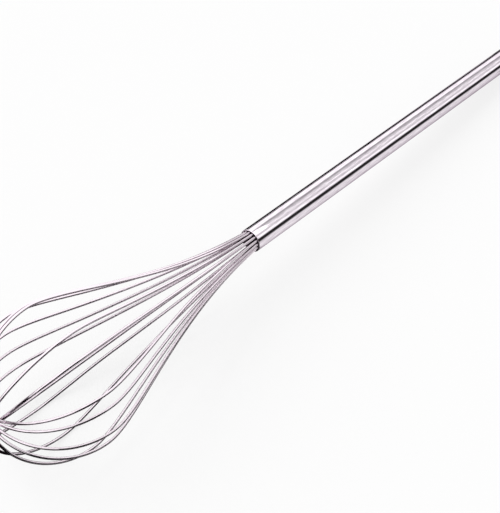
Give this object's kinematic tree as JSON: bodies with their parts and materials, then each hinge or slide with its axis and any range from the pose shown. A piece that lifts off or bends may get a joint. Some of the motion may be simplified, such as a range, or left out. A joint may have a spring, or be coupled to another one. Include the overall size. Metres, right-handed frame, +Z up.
{
  "type": "balloon whisk",
  "caption": "Long stainless balloon whisk: nested wire loops held in the mouth of a plain round tube handle, with a domed end cap and a hanging loop; for beating and stirring by hand.",
  "frame": {"origin": "centre of the bounding box in plan, at the table that the whisk lies on", "axes": "+X along the whisk's length in plan, from the balloon's tip to the hanging loop; +Z up from the table"},
  "size_m": [0.6104, 0.104, 0.1029],
  "materials": {
    "tube": "fine lengthwise satin polish",
    "cap": "satin polish",
    "wire": "bright drawn stainless wire",
    "resin": "cast sealing resin"
  },
  "bodies": {
    "root": {"handle_tube": "tube", "end_cap": "cap", "hanging_loop": "wire", "wire_plug": "resin", "wire_loop_1": "wire", "wire_loop_2": "wire", "wire_loop_3": "wire", "wire_loop_4": "wire", "wire_loop_5": "wire", "wire_loop_6": "wire", "wire_loop_7": "wire", "wire_loop_8": "wire"}
  },
  "joints": []
}
